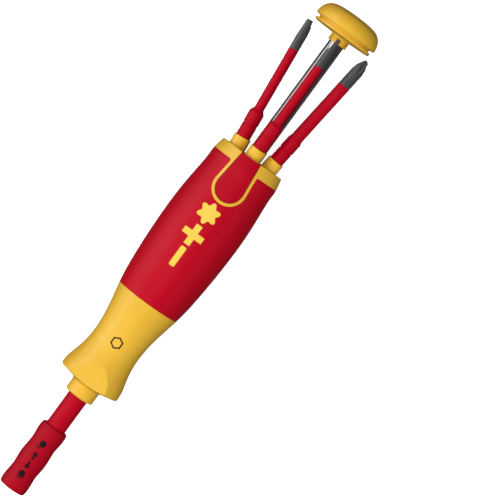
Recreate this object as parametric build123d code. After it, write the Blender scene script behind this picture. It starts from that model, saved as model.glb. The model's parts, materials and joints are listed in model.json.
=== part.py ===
from build123d import *
import math
import os

# Insulated screwdriver with a bit magazine in its handle.
# The tool lies on its side along X: the locking sleeve's mouth is at x = 0, on the axis, and the cap
# is at the +X end. The release button faces +Z. The magazine is drawn out and its carriers are fanned.
# All sizes are in millimetres.

# ---- fits ------------------------------------------------------------------------------------------
RUNNING_GAP = 0.05  # radial gap of a pin or shaft that turns or slides in its bore
LOOSE_GAP = 0.25  # gap round a moving piece that isn't a bearing
STOP_GAP = 0.1  # gap left between two faces that stop on each other
PRESS_GAP = 0.02  # radial gap of a screw or a ball that is held in its hole
CHAMFER = 0.2  # small edge on a bit, its insulation and its carrier's bore
EDGE = 0.4  # larger edge on the cap, the carriers and the boss
BEYOND = 5.0  # how far a cutter runs past the face it opens

# ---- bits ------------------------------------------------------------------------------------------
STATIONS = 6  # carriers in the magazine, one bit each
BIT_LENGTH = 75.0
HEX_SIZE = 6.0  # across the flats of a bit's drive end
HEX_LENGTH = 10.6  # drive end inside its carrier or the socket
BARE_TIP = 16.0  # steel beyond the insulation
BASE_RADIUS = 3.6  # thick foot of the insulation, largest radius
BASE_LENGTH = 13.4
BASE_TAPER = 1.9  # shoulder from the foot to the slender part
BASE_GROOVE_AT = 6.2  # groove round the foot, from its lower end
BASE_GROOVE_LENGTH = 0.8
BASE_GROOVE_DEPTH = 0.3
BASE_STEP = 0.1  # how much thinner the foot is below its groove
DRIVE_CHAMFER = 0.5  # length of the chamfer on the drive end
CATCH_LENGTH = 2.0  # groove round the drive end that the balls drop into
CATCH_DEPTH = 0.45

# ---- magazine --------------------------------------------------------------------------------------
FAN_TILT = 6.9  # degrees that each carrier leans outwards when the magazine is out
ROD_RADIUS = 4.0
CARRIER_WALL = 0.65  # at the corners of the hexagonal bore
CARRIER_GAP = 0.9  # between the rod and a carrier that stands straight
CARRIER_REACH = 20.0  # from a carrier's pivot to its mouth
CARRIER_PROUD = 5.8  # how far the carriers' mouths stand out of the handle
EYE_RADIUS = 2.5  # round foot of a carrier, about its pin
EYE_WIDTH = 4.0
CUP_AT = 4.0  # from a carrier's pivot to the foot of its cup
PIN_RADIUS = 0.9
PIN_LENGTH = 7.4
HUB_BELOW = 4.5  # hub's faces, below and above the pivots
HUB_ABOVE = 3.0
HUB_RADIUS = 13.0
EYE_ROOM = 0.3  # between a carrier's foot and its slot in the hub
EYE_FLOOR = 0.4  # under the foot
ROD_FLOOR = 1.5  # what is left of the hub under the rod
KEY_WIDTH = 2.4  # the hub's two side keys, which the stop pins catch
KEY_REACH = 1.4
TIP_ROOM = 1.655  # between the tips of the bits and the cap's flange

# ---- cap -------------------------------------------------------------------------------------------
CAP_INSET = 0.15  # the cap's rim inside the handle's mouth edge
CAP_HEIGHT = 9.2
GROOVE_WIDTH = 1.6  # latch groove between the cap's rim and its flange
GROOVE_DEPTH = 1.2
FLANGE_THICKNESS = 1.4
NECK_RADIUS = 5.0
NECK_LENGTH = 4.1
NECK_NOTCH = 2.2  # width of the notches between the neck's teeth
SPIGOT_HEIGHT = 4.3  # insert inside the cap
SCREW_RADIUS = 1.95
SCREW_HEAD_RADIUS = 3.4
SCREW_HEAD_HEIGHT = 2.2
SCREW_GRIP = 10.5  # thread inside the rod
SCREW_SPARE = 0.5  # hole beyond the thread
RECESS_SIZE = 2.5  # across the flats of the screws' hexagonal recess
RECESS_DEPTH = 1.2
CROWN_ROOM = 0.3  # over the head of the cap's screw
CROWN_WIDE = 1.6  # round the head
ROD_IN_CAP = 2.5  # how far the rod reaches over the cap's lower face
FLANGE_EDGE = 0.5  # chamfer under the flange
NOTCH_DEPTH = 2.4  # of the neck's notches, along X

# ---- locking sleeve, socket and shaft --------------------------------------------------------------
SLEEVE_LENGTH = 36.2
SLEEVE_STROKE = 3.5  # towards the handle, to let a bit go
SLEEVE_CREST = 7.15  # radius of its three swellings
SLEEVE_WAIST = 6.65
GUIDE_RADIUS = 3.8  # bore that takes a bit's thick foot
GUIDE_LENGTH = 10.4
SOCKET_FRONT = 14.0
SOCKET_STEP = 0.325  # how much thinner the socket is than the insulated shaft
SOCKET_LENGTH = 20.0
HEX_BORE_DEPTH = 11.2
BALL_RADIUS = 1.2
BALL_AT = 5.5  # behind the socket's front face
BALL_LIFT = 0.5  # how far a ball moves out when the sleeve is drawn back
CAM_WALL = 1.0
CAM_LENGTH = 9.5
SHAFT_RADIUS = 3.55
INSULATION_RADIUS = 5.175
SHAFT_SHOWN = 18.9  # insulated shaft between sleeve and handle
CAM_AT = 1.0  # behind the socket's front face
SHAFT_AT = 1.8  # behind the end of the socket's bore
SHAFT_ROOM = 0.2  # in front of the shaft and of its insulation
DETENT_RADIUS = 0.28  # section of the detent ring
DETENT_AT = 1.0  # behind the socket
DETENT_PROUD = 0.08  # how far it stands out of the insulation
ANCHOR_SIZE = 9.0  # across the flats of the shaft's anchor in the handle
ANCHOR_LENGTH = 12.5

# ---- handle ----------------------------------------------------------------------------------------
BOSS_RADIUS = 7.55
BOSS_LENGTH = 6.8
NOSE_RADIUS = 16.4
NOSE_RISE = 1.8  # of the conical front face, between the boss and the front edge
NOSE_ROUND = 0.9
WAIST_RADIUS = 13.02
WAIST_AT = 24.3  # behind the front edge
WAIST_TO_HUB = 15.5  # from the waist to the hub's lower face when the magazine is shut
BORE_RADIUS = 15.95  # inside of the mouth; the leaning bits pass it with room to spare
MOUTH_WALL = 1.2
BELLY_WALL = 4.05  # outside of the belly over the bore
GRIP_THICKNESS = 1.0
GRIP_START = 24.0  # behind the waist
BAND_LENGTH = 5.8  # yellow band round the mouth
FLAT_TILT = 6.4  # degrees between a front flat and the axis
FLAT_HEIGHT = 12.95  # of a front flat over the axis, at the front edge
SPRING_WIRE = 0.45  # radius
SPRING_RADIUS = 5.6
SPRING_TURNS = 15
SPRING_SHUT = 22.0  # room for the spring when the magazine is shut
SPRING_BORE = 7.0
WASHER_THICKNESS = 0.8
STOP_PIN_RADIUS = 1.2
STOP_PIN_CATCH = 1.2  # how far a stop pin covers the hub's key
STOP_PIN_SEAT = 1.15  # how far it reaches into the wall
BORE_FULL_AT = 32.0  # below the mouth, where the cavity reaches its full width
FLARE_AT = 10.0  # above the pivots of the shut magazine, where the cavity starts to widen
HUB_ROOM = 1.0  # under the hub of the shut magazine
KEY_ROOM = 0.4  # under its keys
FLOOR_WALL = 0.9  # left of the wall under the button's lower end
SEAT_PLAY = 0.2  # between the spring's seat and its bore
SEAT_HOLE = 2.5  # radius
COIL_PLAY = 0.05  # between the spring's ends and its seats

# ---- release button --------------------------------------------------------------------------------
BUTTON_TOP = 5.3  # half width at the mouth
BUTTON_ROUND = 7.0  # radius of the wide lower end
BUTTON_LENGTH = 24.5
BUTTON_PIVOT = 12.7  # below the mouth
BUTTON_PIN_RADIUS = 0.6
BUTTON_PIN_SUNK = 0.05  # the pin's centre inside the bore's radius
BUTTON_PIN_LENGTH = 15.4
BUTTON_EAR = 1.3  # radius of its two ears round the pin
EAR_WIDTH = 1.8
EAR_AT = 4.6  # inner face of an ear, from the middle
EAR_WEB = 1.4  # height of the web that carries an ear
BUTTON_INSIDE = 0.45  # between the bore and the button's underside
FOOT_ROOM = 0.75  # between the pocket's floor and the button's lower end
FOOT_STEP = 1.0  # how far that thinner end reaches into the window
BUTTON_TILT = 3.0  # degrees that it rocks; the lower end sinks by about 0.6
HOOK_DEPTH = 0.8
HOOK_WIDTH = 0.8
HOOK_LENGTH = 1.05
HOOK_ROOT = 0.8  # how far it is rooted in the button
LEAF_RADIUS = 1.2  # small spring under the button
LEAF_WIRE = 0.12
LEAF_TURNS = 1.5
LEAF_LOW = 0.3  # its ends over the pocket's floor
LEAF_HIGH = 0.65
LEAF_AT = 4.0  # from the button's lower end
RIDGE_WIDTH = 1.4
RIDGE_FILLET = 1.0

# ---- places along X --------------------------------------------------------------------------------
bit_free = BIT_LENGTH - HEX_LENGTH
boss_x = SLEEVE_LENGTH + SHAFT_SHOWN
face_x = boss_x + BOSS_LENGTH
front_x = face_x + NOSE_RISE
waist_x = front_x + WAIST_AT
hub_shut_x = waist_x + WAIST_TO_HUB
pivot_shut_x = hub_shut_x + HUB_BELOW
flange_drop = GROOVE_WIDTH + FLANGE_THICKNESS
mouth_x = pivot_shut_x + CARRIER_REACH + bit_free + TIP_ROOM + flange_drop
pivot_x = mouth_x + CARRIER_PROUD - CARRIER_REACH * math.cos(math.radians(FAN_TILT))
travel = pivot_x - pivot_shut_x
cap_x = mouth_x + travel + STOP_GAP
grip_x = waist_x + GRIP_START
band_x = mouth_x - BAND_LENGTH
spring_floor_x = hub_shut_x - WASHER_THICKNESS - SPRING_SHUT - WASHER_THICKNESS
insulation_end_x = face_x + NOSE_RISE
shaft_end_x = insulation_end_x + ANCHOR_LENGTH

# ---- radii that follow from the sizes above --------------------------------------------------------
hex_bore = HEX_SIZE + 2 * RUNNING_GAP
hex_corner = hex_bore / math.sqrt(3)
carrier_radius = hex_corner + CARRIER_WALL
pitch_radius = ROD_RADIUS + CARRIER_GAP + carrier_radius
hub_bore = max(HUB_RADIUS, pitch_radius + carrier_radius) + LOOSE_GAP
flange_radius = BORE_RADIUS - LOOSE_GAP
key_radius = HUB_RADIUS + KEY_REACH
belly_radius = BORE_RADIUS + BELLY_WALL
cap_radius = BORE_RADIUS + MOUTH_WALL - CAP_INSET
button_pin_z = BORE_RADIUS - BUTTON_PIN_SUNK
sleeve_bore = INSULATION_RADIUS + 2 * RUNNING_GAP
socket_radius = INSULATION_RADIUS - SOCKET_STEP


# ---- helpers ---------------------------------------------------------------------------------------
def solid_of(shape):
    """The one solid of a result, whatever list or part it came in."""
    return shape.solids()[0]


def turned(points):
    """A solid turned about X from a closed outline of (x, radius) points."""
    return solid_of(revolve(make_face(Polyline(*points, close=True)), Axis.X))


def rod(start, end, radius):
    """A round bar along X."""
    return Pos((start + end) / 2, 0, 0) * Rot(0, 90, 0) * Cylinder(radius, end - start)


def tube(start, end, outer, inner):
    """A round tube along X."""
    return turned([(start, inner), (end, inner), (end, outer), (start, outer)])


def hex_bar(start, end, size):
    """A hexagonal bar along X with flats towards +Y and -Y; size is across the flats."""
    face = Plane.YZ * RegularPolygon(size / math.sqrt(3), 6, rotation=30)
    return Pos(start, 0, 0) * extrude(face, end - start)


def radial_bar(x, inner, outer, radius):
    """A round bar that stands on the axis at x and runs along Z between two radii."""
    return Pos(x, 0, (inner + outer) / 2) * Cylinder(radius, outer - inner)


def cross_bar(x, z, length, radius):
    """A round bar along Y, centred on the XZ plane."""
    return Pos(x, 0, z) * Rot(90, 0, 0) * Cylinder(radius, length)


def around(shape, angles):
    """Copies of a shape, turned about X by each angle."""
    return [Rot(angle, 0, 0) * shape for angle in angles]


def coil(start, end, radius, wire, turns):
    """An open coil spring along X."""
    path = Helix(pitch=(end - start) / turns, height=end - start, radius=radius)
    section = Plane(origin=path @ 0, z_dir=path % 0) * Circle(wire)
    return Pos(start, 0, 0) * Rot(0, 90, 0) * sweep(section, path=path)


station_angles = [360 / STATIONS * k for k in range(STATIONS)]


def at_station(k, shape):
    """Puts a shape drawn along X about its pivot on station k, leaning outwards."""
    lean = Rot(station_angles[k], 0, 0) * Pos(pivot_x, 0, pitch_radius) * Rot(0, -FAN_TILT, 0)
    return lean * shape


def save(name, shape):
    """Writes one node; a list of shapes becomes a group of separate solids."""
    solids = [s for item in (shape if isinstance(shape, list) else [shape]) for s in item.solids()]
    body = solids[0] if len(solids) == 1 else Compound(children=solids)
    body.label = name
    export_step(body, f"parts/{name}.step")


# ---- handle outline --------------------------------------------------------------------------------
def outline(sunk=0.0):
    """Curve of the handle's side from the front edge to the mouth, sunk below the surface."""
    nose_x = front_x + NOSE_ROUND
    stations = [
        (nose_x, NOSE_RADIUS),
        (front_x + 6.7, NOSE_RADIUS - 0.85),
        (front_x + 13.8, WAIST_RADIUS + 0.75),
        (waist_x, WAIST_RADIUS),
        (waist_x + 12.0, WAIST_RADIUS + 1.38),
        (waist_x + 25.0, BORE_RADIUS + 1.1),
        (waist_x + 42.0, BORE_RADIUS + 3.05),
        (mouth_x - 46.0, belly_radius),
        (mouth_x - 25.0, BORE_RADIUS + 3.5),
        (mouth_x - 10.0, BORE_RADIUS + 2.4),
        (mouth_x, BORE_RADIUS + MOUTH_WALL),
    ]
    return Spline(*[(x, r - sunk) for x, r in stations], tangents=[(1, 0), (1, -0.22)])


def closed_turn(curve, *points):
    """A solid turned about X from a curve closed by straight lines through points."""
    line = Polyline(curve @ 1, *points, curve @ 0)
    return solid_of(revolve(make_face([curve, *line.edges()]), Axis.X))


def envelope():
    """The whole outside of the handle with its boss, solid."""
    side = outline()
    nose_x = front_x + NOSE_ROUND
    root = 0.6  # fillet where the boss meets the front face
    points = [
        (mouth_x, 0),
        (boss_x, 0),
        (boss_x, BOSS_RADIUS - EDGE),
        (boss_x + EDGE, BOSS_RADIUS),
        (face_x - root, BOSS_RADIUS),
        (face_x, BOSS_RADIUS + root),
        (front_x, NOSE_RADIUS - NOSE_ROUND),
    ]
    line = Polyline(side @ 1, *points)
    edge = RadiusArc((front_x, NOSE_RADIUS - NOSE_ROUND), (nose_x, NOSE_RADIUS), NOSE_ROUND)
    body = solid_of(revolve(make_face([side, *line.edges(), edge]), Axis.X))
    for cutter in around(front_flat(), (0, 120, 240)):
        body = solid_of(body - cutter)
    return body


def front_flat():
    """Cutter for one of the three flats on the flare, which stop the tool rolling."""
    side = 60.0
    block = Pos(0, 0, side / 2) * Box(side, side, side)
    return Pos(front_x, 0, FLAT_HEIGHT) * Rot(0, -FLAT_TILT, 0) * block


def tongue(grow):
    """Outline of the button seen from above, grown all round, as a face in the XY plane."""
    radius = BUTTON_ROUND + grow
    half = BUTTON_TOP + grow
    centre_x = mouth_x - BUTTON_LENGTH + BUTTON_ROUND
    reach = mouth_x - centre_x
    angle = math.atan2(half, reach) + math.acos(radius / math.hypot(half, reach))
    touch = (centre_x + radius * math.cos(angle), radius * math.sin(angle))
    mirror = (touch[0], -touch[1])
    bottom = (centre_x - radius, 0)
    beyond = mouth_x + BEYOND
    line = Polyline(mirror, (mouth_x, -half), (beyond, -half), (beyond, half), (mouth_x, half), touch)
    arc = ThreePointArc(touch, bottom, mirror)
    return make_face([*line.edges(), arc])


def raised(face, low, high):
    """A face in the XY plane made into a block between two heights."""
    return Pos(0, 0, low) * extrude(face, high - low)


def grip_cut():
    """Where the soft grip leaves the hard core showing: the mouth band and the ridge round the button."""
    ridge = tongue(LOOSE_GAP + RIDGE_WIDTH)
    depth = 2 * BAND_LENGTH
    band = Pos(band_x + depth / 2, 0, 0) * Rectangle(depth, 2 * belly_radius)
    face = Sketch() + [ridge, band]
    near = 1.5 * BUTTON_ROUND
    corners = [v for v in face.vertices() if abs(v.X - band_x) < 1e-3 and abs(v.Y) < near]
    block = raised(fillet(corners, RIDGE_FILLET), 0, 2 * belly_radius)
    return solid_of(block + rod(band_x, band_x + depth, 2 * belly_radius))


# ---- handle ----------------------------------------------------------------------------------------
def make_grip(shell):
    """Soft grip moulded over the core."""
    core = closed_turn(outline(GRIP_THICKNESS), (mouth_x, 0), (front_x + NOSE_ROUND, 0))
    grip = solid_of(shell & rod(grip_x, mouth_x, 2 * belly_radius))
    grip = solid_of(grip - core)
    return solid_of(grip - grip_cut())


def make_core(shell, grip):
    """Hard core of the handle: boss, waist, cavity for the magazine, mouth band and button ridge."""
    core = solid_of(shell - grip)
    wide_x = mouth_x - BORE_FULL_AT
    cavity = turned(
        [
            (hub_shut_x - HUB_ROOM, 0),
            (hub_shut_x - HUB_ROOM, hub_bore),
            (pivot_shut_x + FLARE_AT, hub_bore),
            (wide_x, BORE_RADIUS),
            (mouth_x + BEYOND, BORE_RADIUS),
            (mouth_x + BEYOND, 0),
        ]
    )
    core = solid_of(core - cavity)
    core = solid_of(core - rod(spring_floor_x, hub_shut_x, SPRING_BORE))
    core = solid_of(core - rod(boss_x - BEYOND, insulation_end_x + STOP_GAP, INSULATION_RADIUS))
    core = solid_of(core - hex_bar(insulation_end_x, shaft_end_x + STOP_GAP, ANCHOR_SIZE))
    slot_length = wide_x - pivot_shut_x
    slot_wide = KEY_WIDTH + 2 * LOOSE_GAP
    slot = Box(slot_length, slot_wide, 2 * (key_radius + LOOSE_GAP))
    slot = Pos(pivot_shut_x - KEY_ROOM + slot_length / 2, 0, 0) * Rot(90, 0, 0) * slot
    core = solid_of(core - slot)
    for cutter in stop_pins():
        core = solid_of(core - cutter)
    return solid_of(core - button_room())


def button_room():
    """Window in the core for the button, its blind pocket, pin holes and spring seat."""
    outer = tongue(LOOSE_GAP)
    side = 100.0
    window = raised(outer, BORE_RADIUS / 2, 2 * belly_radius)
    window = window & Pos(pocket_x() + side / 2, 0, 0) * Box(side, side, side)
    pocket = raised(outer, 0, 2 * belly_radius) - rod(0, mouth_x + 2 * BEYOND, pocket_floor())
    pin = cross_bar(mouth_x - BUTTON_PIVOT, button_pin_z, BUTTON_PIN_LENGTH, BUTTON_PIN_RADIUS)
    return [*window.solids(), *pocket.solids(), *pin.solids()]


def pocket_x():
    """Where the button's window ends and its blind pocket begins."""
    return mouth_x - BUTTON_LENGTH + BUTTON_ROUND


def pocket_floor():
    """Radius of the floor under the button's lower end."""
    return BORE_RADIUS + FLOOR_WALL


def stop_pins():
    """Two pins through the wall that stop the hub's keys when the magazine is out."""
    x = pivot_x + HUB_ABOVE + STOP_GAP + STOP_PIN_RADIUS
    inner = key_radius - STOP_PIN_CATCH
    outer = BORE_RADIUS + STOP_PIN_SEAT
    return around(radial_bar(x, inner, outer, STOP_PIN_RADIUS), (90, 270))


# ---- button ----------------------------------------------------------------------------------------
def make_button(shell):
    """Rocking button: a tongue flush with the handle, two ears on the pin and two latch hooks."""
    end = mouth_x + BEYOND
    plate = raised(tongue(0), BORE_RADIUS / 2, 2 * belly_radius) & shell
    plate = solid_of(solid_of(plate) - rod(0, end, BORE_RADIUS + BUTTON_INSIDE))
    plate = solid_of(plate - rod(0, pocket_x() + FOOT_STEP, pocket_floor() + FOOT_ROOM))
    pin_x = mouth_x - BUTTON_PIVOT
    ear_y = EAR_AT + EAR_WIDTH / 2
    ear = Pos(0, ear_y, 0) * cross_bar(pin_x, button_pin_z, EAR_WIDTH, BUTTON_EAR)
    web = Pos(pin_x, ear_y, button_pin_z + EAR_WEB / 2) * Box(2 * BUTTON_EAR, EAR_WIDTH, EAR_WEB)
    hook_x = mouth_x - LOOSE_GAP - HOOK_LENGTH / 2
    hook_y = BUTTON_TOP - STOP_GAP - HOOK_WIDTH / 2
    hook = Pos(hook_x, hook_y, BORE_RADIUS) * Box(HOOK_LENGTH, HOOK_WIDTH, BUTTON_ROUND)
    hook = hook - rod(0, end, BORE_RADIUS - HOOK_DEPTH)
    hook = hook & rod(0, end, BORE_RADIUS + HOOK_ROOT)
    for item in (ear, web, hook):
        plate = solid_of(plate + item)
        plate = solid_of(plate + mirror(item, Plane.XZ))
    bore = cross_bar(pin_x, button_pin_z, 2 * belly_radius, BUTTON_PIN_RADIUS + RUNNING_GAP)
    plate = solid_of(plate - bore)
    return solid_of(plate & rod(0, mouth_x - STOP_GAP, 2 * belly_radius))


def make_button_spring():
    """Small coil under the button's lower end."""
    low = pocket_floor() + LEAF_LOW
    high = pocket_floor() + LEAF_HIGH
    x = mouth_x - BUTTON_LENGTH + LEAF_AT
    return Pos(x, 0, 0) * Rot(0, -90, 0) * coil(low, high, LEAF_RADIUS, LEAF_WIRE, LEAF_TURNS)


# ---- locking sleeve and socket ---------------------------------------------------------------------
def make_sleeve():
    """Waisted locking sleeve with its guide bore."""
    end_round = 1.0
    end_drop = 0.25  # of the outline, from the crest to the round at the rear end
    front_drop = 0.4  # and to the chamfer at the mouth
    front_edge = 0.3
    side = Spline(
        (front_edge, SLEEVE_CREST - front_drop),
        (3.0, SLEEVE_CREST),
        (10.0, SLEEVE_WAIST),
        (17.5, SLEEVE_CREST),
        (26.5, SLEEVE_WAIST),
        (SLEEVE_LENGTH - 3.2, SLEEVE_CREST),
        (SLEEVE_LENGTH - end_round, SLEEVE_CREST - end_drop),
    )
    points = [
        (SLEEVE_LENGTH, SLEEVE_CREST - end_drop - end_round),
        (SLEEVE_LENGTH, sleeve_bore),
        (GUIDE_LENGTH, sleeve_bore),
        (GUIDE_LENGTH, GUIDE_RADIUS),
        (0, GUIDE_RADIUS),
        (0, SLEEVE_CREST - front_drop - front_edge),
    ]
    line = Polyline(*points)
    shoulder = RadiusArc(side @ 1, points[0], end_round)
    lip = Line(points[-1], side @ 0)
    sleeve = solid_of(revolve(make_face([side, shoulder, *line.edges(), lip]), Axis.X))
    return solid_of(sleeve - rod(cam_x(), cam_x() + CAM_LENGTH, cam_outer()))


def cam_x():
    """Front end of the cam ring inside the sleeve."""
    return SOCKET_FRONT + CAM_AT


def cam_outer():
    """Outer radius of the cam ring."""
    return socket_radius + RUNNING_GAP + CAM_WALL


def make_cam_ring():
    """Steel ring in the sleeve; its bore widens forwards, to let the balls out."""
    slope = BALL_LIFT / SLEEVE_STROKE
    inner = socket_radius + RUNNING_GAP
    cone_x = SOCKET_FRONT + BALL_AT + BALL_RADIUS / 2
    front = cam_x()
    end = front + CAM_LENGTH
    mouth = (front, inner + slope * (cone_x - front))
    return turned([mouth, (cone_x, inner), (end, inner), (end, cam_outer()), (front, cam_outer())])


def ball_height():
    """Distance of a locked ball's centre from the axis."""
    return socket_radius + RUNNING_GAP - BALL_RADIUS - PRESS_GAP


def make_socket():
    """Hexagonal bit socket on the end of the shaft."""
    end = SOCKET_FRONT + SOCKET_LENGTH
    socket = rod(SOCKET_FRONT, end, socket_radius)
    socket = solid_of(socket - hex_bar(SOCKET_FRONT, SOCKET_FRONT + HEX_BORE_DEPTH, hex_bore))
    socket = solid_of(socket - rod(shaft_front_x() - SHAFT_ROOM, end, SHAFT_RADIUS))
    hole = radial_bar(SOCKET_FRONT + BALL_AT, 0, 2 * socket_radius, BALL_RADIUS + RUNNING_GAP)
    for cutter in around(hole, (90, 270)):
        socket = solid_of(socket - cutter)
    return socket


def shaft_front_x():
    """Front end of the steel shaft, inside the socket."""
    return SOCKET_FRONT + HEX_BORE_DEPTH + SHAFT_AT


def detent_x():
    """Where the detent ring sits on the insulation."""
    return SOCKET_FRONT + SOCKET_LENGTH + DETENT_AT


def make_insulation():
    """Red tube on the shaft, from the socket into the handle."""
    start = SOCKET_FRONT + SOCKET_LENGTH + SHAFT_ROOM
    pipe = tube(start, insulation_end_x, INSULATION_RADIUS, SHAFT_RADIUS)
    groove = DETENT_RADIUS + RUNNING_GAP
    floor = detent_centre() - groove
    return solid_of(pipe - tube(detent_x() - groove, detent_x() + groove, 2 * INSULATION_RADIUS, floor))


def detent_centre():
    """Radius of the detent ring's centre line."""
    return INSULATION_RADIUS + DETENT_PROUD - DETENT_RADIUS


def make_detent():
    """Rubber ring that holds the sleeve where it is put."""
    return Pos(detent_x(), 0, 0) * Rot(0, 90, 0) * Torus(detent_centre(), DETENT_RADIUS)


def make_shaft():
    """Steel shaft with its hexagonal anchor in the handle."""
    bar = rod(shaft_front_x(), insulation_end_x + STOP_GAP, SHAFT_RADIUS)
    anchor = hex_bar(insulation_end_x + STOP_GAP, shaft_end_x, ANCHOR_SIZE)
    return solid_of(bar + anchor)


# ---- magazine --------------------------------------------------------------------------------------
def make_hub():
    """Disc on the rod's end that carries the six pivots, with two side keys."""
    low = pivot_x - HUB_BELOW
    high = pivot_x + HUB_ABOVE
    hub = rod(low, high, HUB_RADIUS)
    key_long = HUB_ABOVE - STOP_GAP
    key = Pos(high - key_long / 2, 0, 0) * Box(key_long, 2 * key_radius, KEY_WIDTH)
    hub = solid_of(hub + (key & rod(low, high, key_radius)))
    hub = solid_of(hub - rod(rod_foot_x(), high, ROD_RADIUS))
    hub = solid_of(hub - rod(low, high, SCREW_RADIUS + RUNNING_GAP))
    slot_in = pitch_radius - EYE_RADIUS - EYE_ROOM
    slot_out = key_radius + BEYOND
    slot_floor = pivot_x - EYE_RADIUS - EYE_FLOOR
    slot_end = high + BEYOND
    slot = Box(slot_end - slot_floor, EYE_WIDTH + EYE_ROOM, slot_out - slot_in)
    slot = Pos((slot_floor + slot_end) / 2, 0, (slot_in + slot_out) / 2) * slot
    for cutter in around(slot, station_angles):
        hub = solid_of(hub - cutter)
    for cutter in carrier_pins():
        hub = solid_of(hub - cutter)
    return hub


def rod_foot_x():
    """Lower end of the centre rod, seated in the hub."""
    return pivot_x - HUB_BELOW + ROD_FLOOR


def carrier_pins():
    """Six pivot pins, one for each carrier."""
    return around(cross_bar(pivot_x, pitch_radius, PIN_LENGTH, PIN_RADIUS), station_angles)


def make_rod():
    """Polished centre rod with a threaded hole in each end."""
    top = cap_x + ROD_IN_CAP
    hole = SCREW_RADIUS + PRESS_GAP
    depth = SCREW_GRIP + SCREW_SPARE
    bar = rod(rod_foot_x(), top, ROD_RADIUS)
    bar = solid_of(bar - rod(rod_foot_x(), rod_foot_x() + depth, hole))
    return solid_of(bar - rod(top - depth, top, hole))


def make_screw(seat, direction, grip_to):
    """Pan-head screw whose head sits at seat; its thread runs the other way to grip_to."""
    head = rod(*sorted((seat, seat + direction * SCREW_HEAD_HEIGHT)), SCREW_HEAD_RADIUS)
    shank = rod(*sorted((seat, grip_to)), SCREW_RADIUS)
    far = seat + direction * SCREW_HEAD_HEIGHT
    recess = hex_bar(*sorted((far, far - direction * RECESS_DEPTH)), RECESS_SIZE)
    return solid_of(solid_of(head + shank) - recess)


def make_dome():
    """Mushroom cap, hollow under its crown."""
    side = Spline(
        (cap_x + EDGE, cap_radius),
        (cap_x + 0.55 * CAP_HEIGHT, cap_radius - 1.25),
        (cap_x + CAP_HEIGHT - 1.1, cap_radius - 4.6),
        (cap_x + CAP_HEIGHT - 0.25, cap_radius / 2),
        (cap_x + CAP_HEIGHT, 0),
        tangents=[(1, 0), (0, -1)],
    )
    spigot = spigot_radius() + PRESS_GAP
    spigot_x = cap_x + SPIGOT_HEIGHT + RUNNING_GAP
    crown_x = cap_x + SPIGOT_HEIGHT + SCREW_HEAD_HEIGHT + CROWN_ROOM
    crown_radius = SCREW_HEAD_RADIUS + CROWN_WIDE
    points = [
        (crown_x, 0),
        (crown_x, crown_radius),
        (spigot_x, crown_radius),
        (spigot_x, spigot),
        (cap_x, spigot),
        (cap_x, cap_radius - EDGE),
    ]
    line = Polyline(side @ 1, *points)
    rim = RadiusArc(points[-1], side @ 0, EDGE)
    return solid_of(revolve(make_face([side, *line.edges(), rim]), Axis.X))


def spigot_radius():
    """Insert inside the cap, which is also the floor of the latch groove."""
    return flange_radius - GROOVE_DEPTH


def make_insert():
    """Flange, latch groove and notched neck under the cap."""
    low = cap_x - flange_drop
    neck_low = low - NECK_LENGTH
    body = turned(
        [
            (neck_low, 0),
            (neck_low, NECK_RADIUS),
            (low - FLANGE_EDGE, NECK_RADIUS),
            (low, flange_radius - FLANGE_EDGE),
            (low + FLANGE_EDGE / 2, flange_radius),
            (cap_x - GROOVE_WIDTH, flange_radius),
            (cap_x - GROOVE_WIDTH, spigot_radius()),
            (cap_x + SPIGOT_HEIGHT, spigot_radius()),
            (cap_x + SPIGOT_HEIGHT, 0),
        ]
    )
    body = solid_of(body - rod(neck_low, cap_x + ROD_IN_CAP, ROD_RADIUS))
    body = solid_of(body - rod(cap_x, cap_x + SPIGOT_HEIGHT + BEYOND, SCREW_RADIUS + RUNNING_GAP))
    notch = Pos(neck_low, 0, NECK_RADIUS) * Box(2 * NOTCH_DEPTH, NECK_NOTCH, ROD_RADIUS)
    for cutter in around(notch, station_angles):
        body = solid_of(body - cutter)
    return body


# ---- carriers and bits, drawn along X about the carrier's pivot -------------------------------------
def make_carrier():
    """Cup with a hexagonal bore on a round eye."""
    cup = turned(
        [
            (CUP_AT, 0),
            (CUP_AT, carrier_radius - EDGE),
            (CUP_AT + EDGE, carrier_radius),
            (CARRIER_REACH - CHAMFER, carrier_radius),
            (CARRIER_REACH, carrier_radius - CHAMFER),
            (CARRIER_REACH, 0),
        ]
    )
    eye = cross_bar(0, 0, EYE_WIDTH, EYE_RADIUS)
    stem_long = CUP_AT + EDGE
    stem = Pos(stem_long / 2, 0, 0) * Box(stem_long, EYE_WIDTH, 2 * EYE_RADIUS)
    carrier = solid_of(cup + stem)
    carrier = solid_of(carrier + eye)
    carrier = solid_of(carrier - cross_bar(0, 0, 2 * EYE_WIDTH, PIN_RADIUS + RUNNING_GAP))
    return solid_of(carrier - hex_bar(drive_x - CHAMFER, CARRIER_REACH, hex_bore))


foot_x = CARRIER_REACH + STOP_GAP  # lower end of a bit's insulation
drive_x = CARRIER_REACH - HEX_LENGTH
tip_x = CARRIER_REACH + bit_free
sheath_x = tip_x - BARE_TIP  # upper end of a bit's insulation


def make_sheath(shank, core):
    """Insulation of one bit: thick grooved foot, shoulder and slender part."""
    low = BASE_RADIUS - BASE_STEP
    groove = foot_x + BASE_GROOVE_AT
    groove_end = groove + BASE_GROOVE_LENGTH
    shoulder = foot_x + BASE_LENGTH
    edge = CHAMFER
    return turned(
        [
            (foot_x, core),
            (foot_x, low - edge),
            (foot_x + edge, low),
            (groove, low),
            (groove + edge, BASE_RADIUS - BASE_GROOVE_DEPTH),
            (groove_end, BASE_RADIUS - BASE_GROOVE_DEPTH),
            (groove_end + edge, BASE_RADIUS),
            (shoulder - edge, BASE_RADIUS),
            (shoulder, BASE_RADIUS - edge),
            (shoulder + BASE_TAPER, shank),
            (sheath_x - edge, shank),
            (sheath_x, shank - edge),
            (sheath_x, core),
        ]
    )


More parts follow.
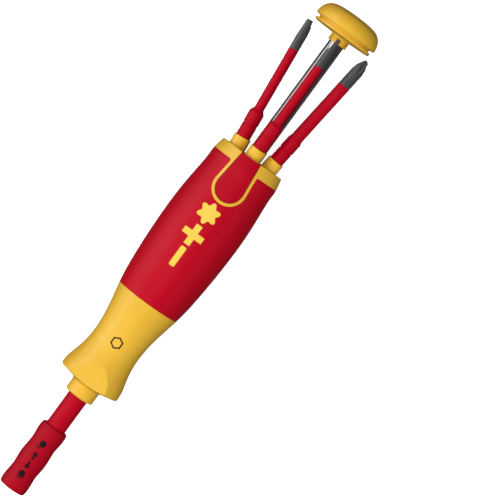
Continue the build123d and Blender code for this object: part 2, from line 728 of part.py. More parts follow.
def steel_blank(core, points):
    """Drive hexagon and round core of a bit, then the tip's own outline to the axis."""
    corner = HEX_SIZE / math.sqrt(3)
    body = turned([(foot_x, 0), (foot_x, core), (sheath_x, core), *points, (tip_x, 0)])
    ends = turned(
        [
            (drive_x, 0),
            (drive_x, HEX_SIZE / 2 - CHAMFER),
            (drive_x + DRIVE_CHAMFER, corner),
            (foot_x, corner),
            (foot_x, 0),
        ]
    )
    drive = solid_of(hex_bar(drive_x, foot_x, HEX_SIZE) & ends)
    catch_x = CARRIER_REACH - BALL_AT
    half = CATCH_LENGTH / 2
    catch = tube(catch_x - half, catch_x + half, HEX_SIZE, HEX_SIZE / 2 - CATCH_DEPTH)
    return solid_of(solid_of(drive - catch) + body)


def slotted(core, shank, width, thickness):
    """Flat blade tip, ground to a wedge with nearly parallel faces at its end."""
    half = width / 2
    blade = 7.0
    flare = 1.0
    wedge = 4.0  # ground length below the blade's parallel sides
    end = 3.0  # nearly parallel end of the wedge
    thicker = 0.35  # on each side at the start of that end
    blank = steel_blank(
        core, [(sheath_x, shank), (tip_x - blade - flare, shank), (tip_x - blade, half), (tip_x, half)]
    )
    low = tip_x - blade - wedge
    high = tip_x + BEYOND
    for side in (1, -1):
        cutter = make_face(
            Polyline(
                (low, side * 1.3 * shank),
                (tip_x - end, side * (thickness / 2 + thicker)),
                (tip_x, side * thickness / 2),
                (high, side * thickness / 2),
                (high, side * BEYOND),
                (low, side * BEYOND),
                close=True,
            )
        )
        blank = solid_of(blank - Pos(0, 0, -BEYOND) * extrude(cutter, 2 * BEYOND))
    return blank


def star(core, shank, radius):
    """Six-lobed tip on a long taper."""
    lobes = 6
    fluted = 6.8
    wide = 0.93 * shank  # where the flutes start
    points = [
        (sheath_x, shank),
        (tip_x - fluted - shank, shank),
        (tip_x - fluted, wide),
        (tip_x - CHAMFER, radius),
        (tip_x, radius - CHAMFER),
    ]
    blank = steel_blank(core, points)
    lean = math.degrees(math.atan2(wide - radius, fluted))
    flute = Rot(0, lean, 0) * rod(-fluted, BEYOND, radius / 3)
    for cutter in around(Pos(tip_x, 0, 1.12 * radius) * flute, [360 / lobes * k for k in range(lobes)]):
        blank = solid_of(blank - cutter)
    return blank


def cross(core, shank, ribbed):
    """Cross tip with four flutes; a ribbed one has four small lines more."""
    wings = [45 + 90 * k for k in range(4)]
    cone = 1.33 * shank  # length of the pointed end
    neck = 3.2  # taper from the shank to it
    nose = 0.65
    points = [
        (sheath_x, shank),
        (tip_x - cone - neck, shank),
        (tip_x - cone, 0.86 * shank),
        (tip_x - nose, 0.36 * shank),
        (tip_x, 0.2 * shank),
    ]
    blank = steel_blank(core, points)
    side = 2 * shank
    wing = 0.17 * shank  # half the thickness of a wing at the tip
    lean = Rot(0, 15, 0) * Pos(0, 0, math.sqrt(0.5) * side) * Rot(45, 0, 0)
    flute = Pos(tip_x, 0, wing) * lean * Box(5 * shank, side, side)
    for cutter in around(flute, wings):
        blank = solid_of(blank - cutter)
    if ribbed:
        line = Pos(tip_x - 2.2, 0, 0.62 * shank) * Rot(0, 14, 0) * Box(3.2, 0.3, 0.5)
        for rib in around(line, wings):
            blank = solid_of(blank - rib)
    return blank


# One bit for each station, in order round the rod from the button's side.
slim = 1.5  # radius of the steel inside a slender shank
stout = 2.3
bits = [
    (2.15, slim, slotted(slim, shank=2.05, width=4.2, thickness=0.8)),
    (3.1, stout, cross(stout, shank=3.05, ribbed=False)),
    (2.15, slim, slotted(slim, shank=2.05, width=3.0, thickness=0.6)),
    (2.6, slim, cross(slim, shank=2.4, ribbed=True)),
    (2.25, slim, cross(slim, shank=2.2, ribbed=False)),
    (2.25, slim, star(slim, shank=2.2, radius=1.62)),
]


# ---- build -----------------------------------------------------------------------------------------
os.makedirs("parts", exist_ok=True)

outside = envelope()
grip_sleeve = make_grip(outside)
save("grip_sleeve", grip_sleeve)
save("handle_core", make_core(outside, grip_sleeve))
save("stop_pins", stop_pins())
save("release_button", make_button(outside))
button_pin_x = mouth_x - BUTTON_PIVOT
save("button_pin", cross_bar(button_pin_x, button_pin_z, BUTTON_PIN_LENGTH, BUTTON_PIN_RADIUS))
save("button_spring", make_button_spring())

save("lock_sleeve", make_sleeve())
save("cam_ring", make_cam_ring())
save("bit_socket", make_socket())
save("drive_shaft", make_shaft())
save("shaft_insulation", make_insulation())
save("detent_ring", make_detent())
ball = Pos(SOCKET_FRONT + BALL_AT, 0, ball_height()) * Sphere(BALL_RADIUS)
for name, angle in (("lock_ball_right", 90), ("lock_ball_left", 270)):
    save(name, Rot(angle, 0, 0) * ball)

washer_x = pivot_x - HUB_BELOW - WASHER_THICKNESS
seat_x = spring_floor_x + WASHER_THICKNESS
save("spring_seat", tube(spring_floor_x, seat_x, SPRING_BORE - SEAT_PLAY, SEAT_HOLE))
washer_radius = SPRING_BORE - 2 * SEAT_PLAY
save("hub_washer", tube(washer_x, washer_x + WASHER_THICKNESS, washer_radius, SCREW_RADIUS + STOP_GAP))
spring_end = SPRING_WIRE + COIL_PLAY
spring = coil(seat_x + spring_end, washer_x - spring_end, SPRING_RADIUS, SPRING_WIRE, SPRING_TURNS)
save("lift_spring", spring)

save("carrier_hub", make_hub())
save("carrier_pins", carrier_pins())
save("centre_rod", make_rod())
save("hub_screw", make_screw(washer_x, -1, rod_foot_x() + SCREW_GRIP))
save("cap_dome", make_dome())
save("cap_insert", make_insert())
save("cap_screw", make_screw(cap_x + SPIGOT_HEIGHT, 1, cap_x + ROD_IN_CAP - SCREW_GRIP))

for k, (shank_radius, core_radius, steel) in enumerate(bits):
    number = k + 1
    save(f"carrier_{number}", at_station(k, make_carrier()))
    save(f"bit_{number}_steel", at_station(k, steel))
    save(f"bit_{number}_insulation", at_station(k, make_sheath(shank_radius, core_radius)))
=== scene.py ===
import bmesh
import bpy
import json
import math
from functools import cached_property
from mathutils import Matrix, Vector
from mathutils.bvhtree import BVHTree


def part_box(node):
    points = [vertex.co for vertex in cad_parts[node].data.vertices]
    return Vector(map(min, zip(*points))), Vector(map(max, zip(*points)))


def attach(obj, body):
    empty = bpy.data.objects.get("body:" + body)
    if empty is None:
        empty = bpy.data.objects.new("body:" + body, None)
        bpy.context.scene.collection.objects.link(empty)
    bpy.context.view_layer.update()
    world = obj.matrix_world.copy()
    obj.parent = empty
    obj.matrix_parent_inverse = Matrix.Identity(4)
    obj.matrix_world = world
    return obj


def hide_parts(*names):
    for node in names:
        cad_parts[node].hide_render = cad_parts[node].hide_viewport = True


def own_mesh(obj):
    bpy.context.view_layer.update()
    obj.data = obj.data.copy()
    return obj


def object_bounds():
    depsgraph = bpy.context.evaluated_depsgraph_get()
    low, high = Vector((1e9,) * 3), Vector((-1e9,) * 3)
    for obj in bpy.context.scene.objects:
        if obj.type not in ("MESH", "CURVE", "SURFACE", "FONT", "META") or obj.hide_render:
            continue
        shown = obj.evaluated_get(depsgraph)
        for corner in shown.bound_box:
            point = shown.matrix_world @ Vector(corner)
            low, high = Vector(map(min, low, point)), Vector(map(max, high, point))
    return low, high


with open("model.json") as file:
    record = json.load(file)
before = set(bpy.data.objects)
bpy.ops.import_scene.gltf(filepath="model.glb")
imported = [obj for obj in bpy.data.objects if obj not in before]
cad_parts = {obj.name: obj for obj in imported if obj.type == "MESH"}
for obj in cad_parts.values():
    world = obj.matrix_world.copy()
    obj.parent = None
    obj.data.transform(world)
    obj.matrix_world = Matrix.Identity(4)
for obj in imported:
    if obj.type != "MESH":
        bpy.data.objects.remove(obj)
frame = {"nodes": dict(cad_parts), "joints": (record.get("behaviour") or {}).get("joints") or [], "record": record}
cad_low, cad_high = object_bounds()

MM = 0.001
nodes = frame["nodes"]
joints = {joint["name"]: joint for joint in frame["joints"]}


# ---- node sheets -----------------------------------------------------------------------------------
class Wire:
    """A socket that works in Python arithmetic; each operation adds a Math node to its sheet."""

    def __init__(self, sheet, socket):
        self.sheet = sheet
        self.socket = socket

    def math(self, operation, *values, clamp=False):
        settings = {"operation": operation, "use_clamp": clamp}
        return self.sheet.add("ShaderNodeMath", settings, dict(enumerate(values)))["Value"]

    def __add__(self, other):
        return self.math("ADD", self, other)

    def __radd__(self, other):
        return self.math("ADD", other, self)

    def __sub__(self, other):
        return self.math("SUBTRACT", self, other)

    def __rsub__(self, other):
        return self.math("SUBTRACT", other, self)

    def __mul__(self, other):
        return self.math("MULTIPLY", self, other)

    def __rmul__(self, other):
        return self.math("MULTIPLY", other, self)

    def __truediv__(self, other):
        return self.math("DIVIDE", self, other)

    def above(self, edge, soft):
        """0 below edge and 1 above it, with a soft step between."""
        return self.math("DIVIDE", self - (edge - soft / 2), soft, clamp=True)

    def near(self, place, half):
        """1 at a place, falling to 0 at half away on either side."""
        gap = self.math("ABSOLUTE", self - place)
        return self.math("SUBTRACT", 1.0, gap / half, clamp=True)


class Node:
    """A node whose outputs come back as wires, by name or by number."""

    def __init__(self, sheet, node):
        self.sheet = sheet
        self.node = node

    def __getitem__(self, output):
        return Wire(self.sheet, self.node.outputs[output])


class Sheet:
    """The node tree of one material or world."""

    # A Mix node's sockets for colours share their names with others, so they go by number.
    FIRST_COLOUR, SECOND_COLOUR = 6, 7
    MIXED_COLOUR = 2

    def __init__(self, name, library=bpy.data.materials):
        self.owner = library.new(name)
        self.owner.use_nodes = True
        self.tree = self.owner.node_tree
        self.tree.nodes.clear()

    def add(self, kind, settings=None, values=None):
        """Adds a node: its settings first, then the values or wires of its sockets."""
        node = self.tree.nodes.new(kind)
        for key, value in (settings or {}).items():
            setattr(node, key, value)
        for key, value in (values or {}).items():
            socket = node.inputs[key]
            if isinstance(value, Wire):
                self.tree.links.new(value.socket, socket)
            else:
                socket.default_value = value
        return Node(self, node)

    @cached_property
    def place(self):
        """Where a point is on its piece, in metres."""
        return self.add("ShaderNodeTexCoord")["Object"]

    def along(self):
        """How far along the tool a point is, in millimetres."""
        return self.add("ShaderNodeSeparateXYZ", None, {"Vector": self.place})["X"] / MM

    def noise(self, size, detail=2.0, stretch=(1, 1, 1), roughness=0.55):
        """Cloudy noise from 0 to 1 with patches about size millimetres wide."""
        placed = {"Vector": self.place, "Scale": stretch}
        scaled = self.add("ShaderNodeMapping", {"vector_type": "POINT"}, placed)["Vector"]
        values = {"Vector": scaled, "Scale": 1 / (size * MM), "Detail": detail, "Roughness": roughness}
        return self.add("ShaderNodeTexNoise", {"noise_dimensions": "3D"}, values)["Fac"]

    def mix(self, factor, first, second):
        """Colour between two colours."""
        settings = {"data_type": "RGBA", "blend_type": "MIX"}
        values = {"Factor": factor, self.FIRST_COLOUR: first, self.SECOND_COLOUR: second}
        return self.add("ShaderNodeMix", settings, values)[self.MIXED_COLOUR]

    def bump(self, height, depth):
        """Normal from a height of 0 to 1 that stands for depth millimetres."""
        return self.add("ShaderNodeBump", None, {"Height": height, "Distance": depth * MM})["Normal"]

    def shade(self, **values):
        """Principled shader on the material's output; words joined by _ name its sockets."""
        named = {key.replace("_", " "): value for key, value in values.items()}
        shader = self.add("ShaderNodeBsdfPrincipled", None, named)
        self.add("ShaderNodeOutputMaterial", None, {"Surface": shader["BSDF"]})
        return self.owner


def rgb(red, green, blue):
    """Linear colour from screen values of 0 to 255."""
    def linear(value):
        value = value / 255
        return value / 12.92 if value <= 0.04045 else ((value + 0.055) / 1.055) ** 2.4
    return (linear(red), linear(green), linear(blue), 1.0)


# ---- finishes --------------------------------------------------------------------------------------
def moulded(name, colour, deep, pale, roughness, grain, grain_depth, scuffs, **finish):
    """Moulded plastic: a slight drift of colour, a fine spark-eroded grain and a few scuffs."""
    sheet = Sheet(name)
    drift = sheet.noise(size=28.0, detail=3.0)
    speck = sheet.noise(size=grain)
    fine = sheet.noise(size=grain / 3, detail=1.0)
    streaks = sheet.noise(size=9.0, detail=6.0, stretch=(0.35, 1.0, 1.0), roughness=0.7)
    rub = streaks.above(edge=0.66, soft=0.12)
    base = sheet.mix(drift, deep, colour)
    base = sheet.mix(rub * scuffs, base, pale)
    return sheet.shade(
        Base_Color=base,
        Roughness=roughness + 0.06 * (drift - 0.5) + 0.08 * (speck - 0.5) + 0.08 * rub,
        Normal=sheet.bump(0.7 * speck + 0.3 * fine, grain_depth),
        **finish,
    )


def grip_finish():
    """Soft red grip: fine grain, faint lengthwise wear and a line of painted shade at each end, where the grip
    meets the core.
    """
    sheet = Sheet("soft_red_grip")
    drift = sheet.noise(size=34.0, detail=3.0, stretch=(0.5, 1.0, 1.0))
    grain = sheet.noise(size=0.35)
    streaks = sheet.noise(size=12.0, detail=6.0, stretch=(0.3, 1.0, 1.0), roughness=0.68)
    wear = streaks.above(edge=0.62, soft=0.2)
    base = sheet.mix(drift, rgb(176, 0, 25), rgb(190, 0, 32))
    base = sheet.mix(0.1 * wear, base, rgb(200, 40, 62))
    along = sheet.along()
    low, high = (corner.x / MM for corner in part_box("grip_sleeve"))
    # Painted shade: the red darkens in a thin band at each end of the grip, where it meets the core.
    rim_width = 0.9
    rim_shade = along.near(low, rim_width) + along.near(high, rim_width)
    base = sheet.mix(0.35 * rim_shade, base, rgb(120, 4, 22))
    return sheet.shade(
        Base_Color=base,
        Roughness=0.42 + 0.08 * (drift - 0.5) + 0.08 * (grain - 0.5) - 0.04 * wear,
        Normal=sheet.bump(grain, depth=0.012),
        Specular_IOR_Level=0.22,
    )


def steel(name, dark, light, roughness, stretch, line_size, depth, metallic=1.0):
    """Steel with turned or drawn lines, a cloudy tint and small handling marks."""
    sheet = Sheet(name)
    lines = sheet.noise(line_size, detail=3.0, stretch=stretch, roughness=0.6)
    cloud = sheet.noise(size=6.0, detail=4.0)
    specks = sheet.noise(size=2.2, detail=6.0, stretch=(0.4, 1.0, 1.0), roughness=0.75)
    marks = specks.above(edge=0.64, soft=0.1)
    return sheet.shade(
        Base_Color=sheet.mix(0.5 * lines + 0.5 * cloud, dark, light),
        Metallic=metallic,
        Roughness=roughness + 0.12 * (lines - 0.5) + 0.1 * (cloud - 0.5) + 0.1 * marks,
        Normal=sheet.bump(lines, depth),
    )


RED_DEEP = rgb(170, 0, 26)
RED = rgb(184, 0, 32)
RED_PALE = rgb(198, 40, 58)
RED_WORN = rgb(168, 4, 30)
YELLOW_DEEP = rgb(226, 174, 46)
YELLOW = rgb(238, 190, 58)
YELLOW_PALE = rgb(250, 220, 130)
STEEL_GREY = rgb(196, 196, 198)

# How far light goes into the yellow plastic before it comes out again.
YELLOW_GLOW = {"Subsurface_Radius": (0.003, 0.0024, 0.0008), "Subsurface_Scale": 0.4}

finishes = {
    "yellow_plastic": moulded(
        "yellow_core_plastic", YELLOW, YELLOW_DEEP, YELLOW_PALE,
        roughness=0.36, grain=0.5, grain_depth=0.006, scuffs=0.2,
        Coat_Weight=0.15, Coat_Roughness=0.3, Subsurface_Weight=0.08, **YELLOW_GLOW,
    ),
    "yellow_cap": moulded(
        "yellow_cap_plastic", YELLOW, YELLOW_DEEP, YELLOW_PALE,
        roughness=0.42, grain=0.5, grain_depth=0.008, scuffs=0.3,
        Coat_Weight=0.1, Coat_Roughness=0.35, Subsurface_Weight=0.08, **YELLOW_GLOW,
    ),
    "yellow_carrier": moulded(
        "yellow_carrier_plastic", rgb(242, 192, 60), rgb(232, 178, 44), YELLOW_PALE,
        roughness=0.34, grain=0.4, grain_depth=0.005, scuffs=0.15,
        Coat_Weight=0.2, Coat_Roughness=0.25, Subsurface_Weight=0.1, **YELLOW_GLOW,
    ),
    "red_grip": grip_finish(),
    "red_button": moulded(
        "red_button_plastic", RED, RED_DEEP, RED_PALE,
        roughness=0.42, grain=0.45, grain_depth=0.008, scuffs=0.25, Specular_IOR_Level=0.22,
    ),
    "red_insulation": moulded(
        "red_insulation_plastic", RED, RED_DEEP, RED_PALE,
        roughness=0.5, grain=0.4, grain_depth=0.006, scuffs=0.2, Specular_IOR_Level=0.18,
    ),
    "red_sleeve": moulded(
        "red_sleeve_plastic", RED_WORN, RED_DEEP, RED_PALE,
        roughness=0.48, grain=0.45, grain_depth=0.006, scuffs=0.25, Specular_IOR_Level=0.18,
    ),
    # The hub's near-black is partly its own plastic and partly painted shade for the dark glimpses deep between
    # the carriers.
    "black_plastic": moulded(
        "black_hub_plastic_and_shade", rgb(34, 33, 32), rgb(22, 22, 22), rgb(90, 88, 86),
        roughness=0.5, grain=0.4, grain_depth=0.01, scuffs=0.3,
    ),
    "rubber_ring": moulded(
        "black_ring_rubber", rgb(30, 29, 28), rgb(20, 20, 20), rgb(70, 68, 66),
        roughness=0.6, grain=0.3, grain_depth=0.01, scuffs=0.3,
    ),
    "polished_rod": steel(
        "polished_rod_steel", STEEL_GREY, rgb(226, 226, 228),
        roughness=0.16, stretch=(0.02, 1, 1), line_size=0.5, depth=0.001,
    ),
    "plain_steel": steel(
        "turned_steel", rgb(160, 160, 162), STEEL_GREY,
        roughness=0.3, stretch=(1, 0.05, 0.05), line_size=0.3, depth=0.004,
    ),
    "spring_steel": steel(
        "drawn_spring_wire", rgb(120, 120, 124), rgb(170, 170, 174),
        roughness=0.34, stretch=(1, 1, 1), line_size=0.5, depth=0.004,
    ),
    "dark_steel": steel(
        "blackened_steel", rgb(44, 44, 46), rgb(70, 70, 72),
        roughness=0.42, stretch=(1, 0.1, 0.1), line_size=0.3, depth=0.005,
    ),
    "bit_steel": steel(
        "phosphated_bit_steel", rgb(66, 67, 66), rgb(112, 113, 111),
        roughness=0.34, stretch=(1, 0.2, 0.2), line_size=0.35, depth=0.006, metallic=0.5,
    ),
}

# Finishes of the signs only.
yellow_ink = moulded(
    "yellow_sign_plastic", rgb(242, 208, 84), rgb(236, 198, 70), rgb(250, 226, 140),
    roughness=0.4, grain=0.4, grain_depth=0.005, scuffs=0.2,
)
dark_ink = moulded(
    "dark_sign_ink", rgb(40, 10, 12), rgb(28, 8, 10), rgb(70, 26, 30),
    roughness=0.5, grain=0.4, grain_depth=0.004, scuffs=0.3,
)

slot_of = {part["node"]: part["material_slot"] for part in frame["record"]["subparts"]}
for name, node in nodes.items():
    for slot in node.material_slots:
        slot.material = finishes[slot_of[name]]


# ---- making a piece --------------------------------------------------------------------------------
def piece(name, bm, material, body):
    """Makes an object from a bmesh, gives it its finish and lets it ride on a body."""
    mesh = bpy.data.meshes.new(name)
    bm.to_mesh(mesh)
    bm.free()
    mesh.materials.append(material)
    made = bpy.data.objects.new(name, mesh)
    bpy.context.scene.collection.objects.link(made)
    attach(made, body)
    return made


# ---- springs ---------------------------------------------------------------------------------------
COIL_STEPS = 28  # stretches in one turn
WIRE_SIDES = 8
CLOSED_TURNS = 0.75  # at each end, lying flat


def coil(name, start, end, radius, wire, turns, body):
    """A coil spring between two points, its end turns closed; wire is the wire's radius."""
    axis = (end - start).normalized()
    across = axis.orthogonal().normalized()
    beside = axis.cross(across)
    open_turns = turns - 2 * CLOSED_TURNS
    closed_pitch = 2 * wire
    open_length = (end - start).length - 2 * wire - 2 * CLOSED_TURNS * closed_pitch
    pitch = open_length / open_turns
    bm = bmesh.new()
    rings = []
    for step in range(int(turns * COIL_STEPS) + 1):
        turn = step / COIL_STEPS
        climb = closed_pitch * min(turn, CLOSED_TURNS)
        climb += pitch * min(max(turn - CLOSED_TURNS, 0), open_turns)
        climb += closed_pitch * max(turn - (turns - CLOSED_TURNS), 0)
        angle = 2 * math.pi * turn
        out = across * math.cos(angle) + beside * math.sin(angle)
        centre = start + axis * (wire + climb) + out * radius
        ring = []
        for side in range(WIRE_SIDES):
            around = 2 * math.pi * side / WIRE_SIDES
            spot = centre + out * wire * math.cos(around) + axis * wire * math.sin(around)
            ring.append(bm.verts.new(spot))
        rings.append(ring)
    for lower, upper in zip(rings, rings[1:]):
        for side in range(WIRE_SIDES):
            after = (side + 1) % WIRE_SIDES
            bm.faces.new((lower[side], lower[after], upper[after], upper[side]))
    bm.faces.new(list(reversed(rings[0])))
    bm.faces.new(rings[-1])
    bmesh.ops.recalc_face_normals(bm, faces=bm.faces)
    for face in bm.faces:
        face.smooth = len(face.verts) == 4
    return piece(name, bm, finishes["spring_steel"], body)


# The spring that lifts the magazine stands between its seat and the washer under the hub.
LIFT_WIRE = 0.45 * MM
LIFT_TURNS = 15
spring_low, spring_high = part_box("lift_spring")
spring_radius = (spring_high.z - spring_low.z) / 2 - LIFT_WIRE
seat_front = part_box("spring_seat")[1].x
washer_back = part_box("hub_washer")[0].x
spring_start = Vector((seat_front, 0, 0))
spring_end = Vector((washer_back, 0, 0))
lift = coil("lift_spring_coil", spring_start, spring_end, spring_radius, LIFT_WIRE, LIFT_TURNS, "handle")
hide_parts("lift_spring")
reach = (spring_end - spring_start).length
stroke = abs(joints["magazine_slide"]["range_m"][0])
(reach - stroke) / reach
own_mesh(lift)

# The button's small spring stands under the button's end; what that end sinks is worked out below but not put into
# the spring.
BUTTON_WIRE = 0.12 * MM
BUTTON_TURNS = 2.4
small_low, small_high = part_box("button_spring")
small_start = Vector(((small_low.x + small_high.x) / 2, 0, small_low.z))
small_end = Vector((small_start.x, 0, small_high.z))
small_radius = (small_high.y - small_low.y) / 2 - BUTTON_WIRE
small = coil("button_spring_coil", small_start, small_end, small_radius, BUTTON_WIRE, BUTTON_TURNS, "handle")
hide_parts("button_spring")
rock = joints["button_rock"]
lever = rock["pos_m"][0] - small_start.x + small_radius
sink = lever * math.sin(math.radians(rock["range_deg"][1]))
small_height = small_high.z - small_low.z
1 - sink / small_height
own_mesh(small)


# ---- signs -----------------------------------------------------------------------------------------
SIGN_EDGE = 0.5 * MM  # longest edge in a sign, so that it follows the surface under it
SIGN_CUTS = 6  # rounds of halving at most
SIGN_SUNK = 0.08 * MM  # into the surface
ABOVE = cad_high.z + 10 * MM  # where a sign is cut out before it is laid down
DOWN = Vector((0, 0, -1))


def lay_sign(name, outlines, host, body, material, proud):
    """A thin sign laid on the upper side of a node, from outlines in X and Y."""
    surface = BVHTree.FromObject(nodes[host], bpy.context.evaluated_depsgraph_get())
    bm = bmesh.new()
    for outline in outlines:
        bm.faces.new([bm.verts.new((x, y, ABOVE)) for x, y in outline])
    bm.normal_update()
    bmesh.ops.triangulate(bm, faces=bm.faces, ngon_method="EAR_CLIP")
    for _ in range(SIGN_CUTS):
        long_edges = [edge for edge in bm.edges if edge.calc_length() > SIGN_EDGE]
        if not long_edges:
            break
        bmesh.ops.subdivide_edges(bm, edges=long_edges, cuts=1)
        bmesh.ops.triangulate(bm, faces=bm.faces)
    bmesh.ops.recalc_face_normals(bm, faces=bm.faces)
    top = set(bm.verts)
    extruded = bmesh.ops.extrude_face_region(bm, geom=list(bm.faces))
    bottom = {item for item in extruded["geom"] if isinstance(item, bmesh.types.BMVert)}
    for vertices, height in ((top, proud), (bottom, -SIGN_SUNK)):
        for vertex in vertices:
            spot = Vector((vertex.co.x, vertex.co.y, ABOVE))
            hit, normal, _, _ = surface.ray_cast(spot, DOWN)
            vertex.co = hit + normal * height
    bmesh.ops.recalc_face_normals(bm, faces=bm.faces)
    return piece(name, bm, material, body)


def ring_of(x, y, outer, inner, start, sweep, step=8.0):
    """Outlines of an arc band, as quadrilaterals side by side; angles in degrees from +X."""
    count = round(sweep / step)
    angles = [math.radians(start + sweep * k / count) for k in range(count + 1)]
    spots = [(math.cos(angle), math.sin(angle)) for angle in angles]
    bands = []
    for (c1, s1), (c2, s2) in zip(spots, spots[1:]):
        corners = ((outer, c1, s1), (outer, c2, s2), (inner, c2, s2), (inner, c1, s1))
        bands.append([(x + r * c, y + r * s) for r, c, s in corners])
    return bands


def disc_of(x, y, radius, count=32):
    """Outline of a round spot."""
    angles = [2 * math.pi * k / count for k in range(count)]
    return [(x + radius * math.cos(angle), y + radius * math.sin(angle)) for angle in angles]


def placed(outline, x, y=0.0, degrees=0.0):
    """An outline drawn about the origin, turned and moved to its place."""
    c, s = math.cos(math.radians(degrees)), math.sin(math.radians(degrees))
    return [(x + c * px - s * py, y + s * px + c * py) for px, py in outline]


def bar_of(length, width):
    """Outline of a bar along X with rounded corners."""
    corner = width / 4
    far, side = length / 2 - corner, width / 2 - corner
    outline = []
    for quarter, (x, y) in enumerate(((far, side), (-far, side), (-far, -side), (far, -side))):
        for k in range(5):
            angle = math.radians(90 * quarter + 22.5 * k)
            outline.append((x + corner * math.cos(angle), y + corner * math.sin(angle)))
    return outline


def cross_of(size, width):
    """Outline of a plus sign."""
    arm, half = size / 2, width / 2
    corner = [(arm, -half), (arm, half), (half, half)]
    return [spot for quarter in range(4) for spot in placed(corner, 0, degrees=90 * quarter)]


def star_of(outer, inner, lobes, count=96):
    """Outline of a round-lobed star."""
    outline = []
    for k in range(count):
        angle = 2 * math.pi * k / count
        radius = (outer + inner) / 2 + (outer - inner) / 2 * math.cos(lobes * angle)
        outline.append((radius * math.cos(angle), radius * math.sin(angle)))
    return outline


def arrow_of(length, shaft, head_length, head_width):
    """Outline of an arrow along +X, centred on its length."""
    tip, tail = length / 2, -length / 2
    neck = tip - head_length
    side, barb = shaft / 2, head_width / 2
    lower = [(tail, -side), (neck, -side), (neck, -barb)]
    return [*lower, (tip, 0), *[(x, -y) for x, y in reversed(lower)]]


# Signs of the three drives stand in a row on the grip.
DRIVE_SIZE = 11 * MM
DRIVE_PITCH = 12.5 * MM
DRIVE_ASIDE = 1.0 * MM
DRIVE_PROUD = 0.1 * MM
slot_bar = bar_of(DRIVE_SIZE, 3.0 * MM)
cross = cross_of(DRIVE_SIZE, 3.2 * MM)
star = star_of(5.7 * MM, 3.8 * MM, lobes=6)
grip_low, grip_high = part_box("grip_sleeve")
grip_middle = (grip_low.x + grip_high.x) / 2
for name, outline, step in (("slot_sign", slot_bar, -1), ("cross_sign", cross, 0), ("star_sign", star, 1)):
    outline = placed(outline, grip_middle + step * DRIVE_PITCH, DRIVE_ASIDE)
    lay_sign(name, [outline], "grip_sleeve", "handle", yellow_ink, DRIVE_PROUD)

# Lock signs on the sleeve: a shut padlock towards the tip, an open one towards the handle, and an
# arrow to each. Places are distances from the sleeve's tip end.
INK_PROUD = 0.03 * MM
LOCKED, OPEN = 9.5 * MM, 26.9 * MM
TO_LOCKED, TO_OPEN = 14.4 * MM, 20.1 * MM
LOCK_RADIUS = 1.7 * MM
BOW = {"outer": 1.55 * MM, "inner": 1.0 * MM, "sweep": 180}
sleeve_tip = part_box("lock_sleeve")[0].x
locked, opened = sleeve_tip + LOCKED, sleeve_tip + OPEN
arrow = arrow_of(length=4.4 * MM, shaft=1.1 * MM, head_length=2.2 * MM, head_width=3.2 * MM)
shut_bow = ring_of(locked - 1.2 * MM, 0, start=90, **BOW)
open_bow = ring_of(opened - 1.4 * MM, 1.1 * MM, start=60, **BOW)
signs = {
    "locked_sign": [disc_of(locked, 0, LOCK_RADIUS), *shut_bow],
    "open_sign": [disc_of(opened, 0, LOCK_RADIUS), *open_bow],
    "lock_arrow": [placed(arrow, sleeve_tip + TO_LOCKED, degrees=180)],
    "open_arrow": [placed(arrow, sleeve_tip + TO_OPEN)],
}
for name, outlines in signs.items():
    lay_sign(name, outlines, "lock_sleeve", "sleeve", dark_ink, INK_PROUD)

# A plain hexagon on the waist, the sign of the drive that the sleeve takes.
HEXAGON_BEFORE_GRIP = 24 * MM
hexagon_x = grip_low.x - HEXAGON_BEFORE_GRIP
hexagon = ring_of(hexagon_x, 0, outer=3.2 * MM, inner=2.4 * MM, start=0, sweep=360, step=60)
lay_sign("hexagon_sign", hexagon, "handle_core", "handle", dark_ink, INK_PROUD)


# ---- floor and light -------------------------------------------------------------------------------
centre = (cad_low + cad_high) / 2


def floor_finish():
    """Pale matt table top, nearly white."""
    sheet = Sheet("pale_floor")
    cloud = sheet.noise(size=120.0, detail=3.0)
    base = sheet.mix(cloud, rgb(248, 248, 248), rgb(254, 254, 254))
    return sheet.shade(
        Base_Color=base,
        Roughness=0.75 + 0.1 * cloud,
        Emission_Color=base,
        Emission_Strength=0.7,
        Specular_IOR_Level=0.1,
    )


def table_top(half_width, gap):
    """A floor just under the tool; it takes shadows and throws no light back on the tool."""
    bm = bmesh.new()
    bmesh.ops.create_grid(bm, x_segments=8, y_segments=8, size=half_width)
    mesh = bpy.data.meshes.new("floor")
    bm.to_mesh(mesh)
    bm.free()
    mesh.materials.append(floor_finish())
    floor = bpy.data.objects.new("floor", mesh)
    bpy.context.scene.collection.objects.link(floor)
    floor.location = (centre.x, centre.y, cad_low.z - gap)
    floor.visible_glossy = False
    floor.visible_diffuse = False


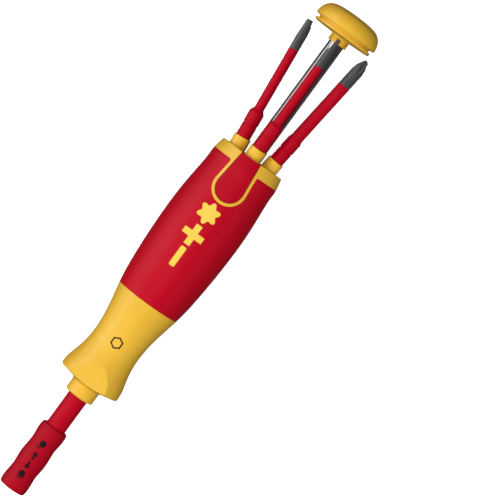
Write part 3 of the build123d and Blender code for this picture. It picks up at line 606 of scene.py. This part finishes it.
def softbox(name, toward, distance, size, power, mirrored=True):
    """A soft rectangular light that shines at the tool; mirrored ones also show as highlights."""
    light = bpy.data.lights.new(name, "AREA")
    light.shape = "RECTANGLE"
    light.size, light.size_y = size
    light.energy = power
    lamp = bpy.data.objects.new(name, light)
    bpy.context.scene.collection.objects.link(lamp)
    back = Vector(toward).normalized()
    up = back.cross(Vector((1, 0, 0))).normalized()
    lamp.matrix_world = Matrix((up.cross(back), up, back)).transposed().to_4x4()
    lamp.location = centre + back * distance
    lamp.visible_camera = False
    lamp.visible_glossy = mirrored


table_top(half_width=1.5, gap=0.1 * MM)
softbox("left_softbox", (0.0, 0.80, 0.60), distance=0.9, size=(1.6, 0.3), power=3.2)
softbox("top_fill", (-0.2, 0.1, 1.0), distance=1.2, size=(1.4, 1.0), power=14.5, mirrored=False)
softbox("right_fill", (0.0, -1.0, 0.6), distance=1.2, size=(1.4, 0.8), power=4.5, mirrored=False)
softbox("rod_highlight", (0.0, 0.985, 0.17), distance=0.9, size=(1.6, 0.57), power=2.6)

# The surround looks white where it is seen, and lights the tool only a little.
SURROUND_LIGHT = 0.06
studio = Sheet("studio", bpy.data.worlds)
seen = studio.add("ShaderNodeLightPath")["Is Camera Ray"]
strength = SURROUND_LIGHT + (1 - SURROUND_LIGHT) * seen
surround = studio.add("ShaderNodeBackground", None, {"Color": (1, 1, 1, 1), "Strength": strength})
studio.add("ShaderNodeOutputWorld", None, {"Surface": surround["Background"]})
bpy.context.scene.world = studio.owner
bpy.context.scene.view_settings.view_transform = "Standard"

# ---- camera ----------------------------------------------------------------------------------------
TURN = math.radians(36.3)  # between the tool's axis and the upright of the view
LEAN = math.radians(2.5)  # of the camera towards the cap
VIEW_WIDTH = 0.2405  # at the tool
LENS = 200.0
SENSOR = 36.0
AIM_ALONG = 0.572  # share of the tool's length, from the tip
AIM_ASIDE = -25.0 * MM

back = Vector((math.sin(LEAN), 0, math.cos(LEAN)))
right = Vector((math.sin(TURN), -math.cos(TURN), 0))
right = (right - back * right.dot(back)).normalized()
upright = back.cross(right)
aim = Vector((cad_low.x + AIM_ALONG * (cad_high.x - cad_low.x), AIM_ASIDE, 0))
lens = bpy.data.cameras.new("camera")
lens.lens = LENS
lens.sensor_width = SENSOR
lens.clip_end = 20.0
camera = bpy.data.objects.new("camera", lens)
bpy.context.scene.collection.objects.link(camera)
camera.matrix_world = Matrix((right, upright, back)).transposed().to_4x4()
camera.location = aim + back * (VIEW_WIDTH * LENS / SENSOR)
bpy.context.scene.camera = camera
